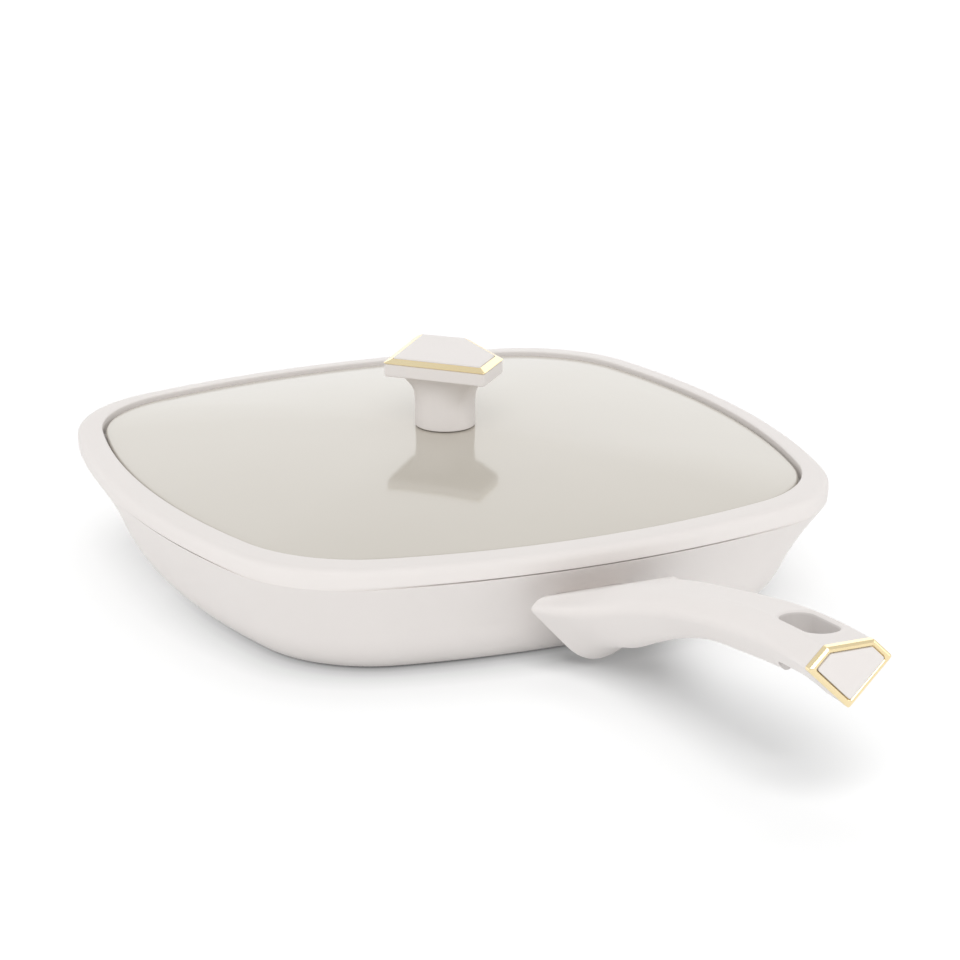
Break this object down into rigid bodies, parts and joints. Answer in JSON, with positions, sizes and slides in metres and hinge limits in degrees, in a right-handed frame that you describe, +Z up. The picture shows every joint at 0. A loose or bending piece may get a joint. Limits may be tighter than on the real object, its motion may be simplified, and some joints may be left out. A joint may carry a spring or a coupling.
{
  "type": "grill pan with lid",
  "caption": "Square-round cast grill pan with ribbed floor, upswept handle with a hanging slot and gem-shaped end, bolted to a cast bracket, and a domed lift-off lid with a gem-topped knob.",
  "frame": {"origin": "middle of the base's underside, on the table", "axes": "+X along the handle away from the pan, +Z up through the knob, +Y to the left when looking along +X"},
  "size_m": [0.4529, 0.2724, 0.0885],
  "materials": {
    "coated_casting": "cast aluminium with a satin ivory coating",
    "base_steel": "turned magnetic stainless steel",
    "handle_plastic": "satin ivory heat-proof moulding",
    "inlay_plastic": "smooth ivory insert",
    "gold_trim": "polished pale gold plating",
    "lid_glass": "opal tempered glass with a satin gloss",
    "gasket_silicone": "matte pale silicone",
    "insert_brass": "turned brass",
    "screw_steel": "plain stainless steel"
  },
  "bodies": {
    "pan": {"pan_body": "coated_casting", "induction_plate": "base_steel", "handle_bracket": "coated_casting", "handle_grip": "handle_plastic", "handle_bolt": "screw_steel", "handle_bolt_washer": "screw_steel", "handle_end_frame": "gold_trim", "handle_end_inlay": "inlay_plastic"},
    "lid": {"lid_plate": "lid_glass", "knob_upper_gasket": "gasket_silicone", "knob_lower_gasket": "gasket_silicone", "knob_body": "handle_plastic", "knob_insert": "insert_brass", "knob_frame": "gold_trim", "knob_inlay": "inlay_plastic", "knob_screw": "screw_steel", "knob_screw_washer": "screw_steel"}
  },
  "joints": [
    {"name": "lid_lift", "type": "slide", "parent": "pan", "child": "lid", "axis": [0, 0, 1], "range_m": [0, 0.12]}
  ]
}
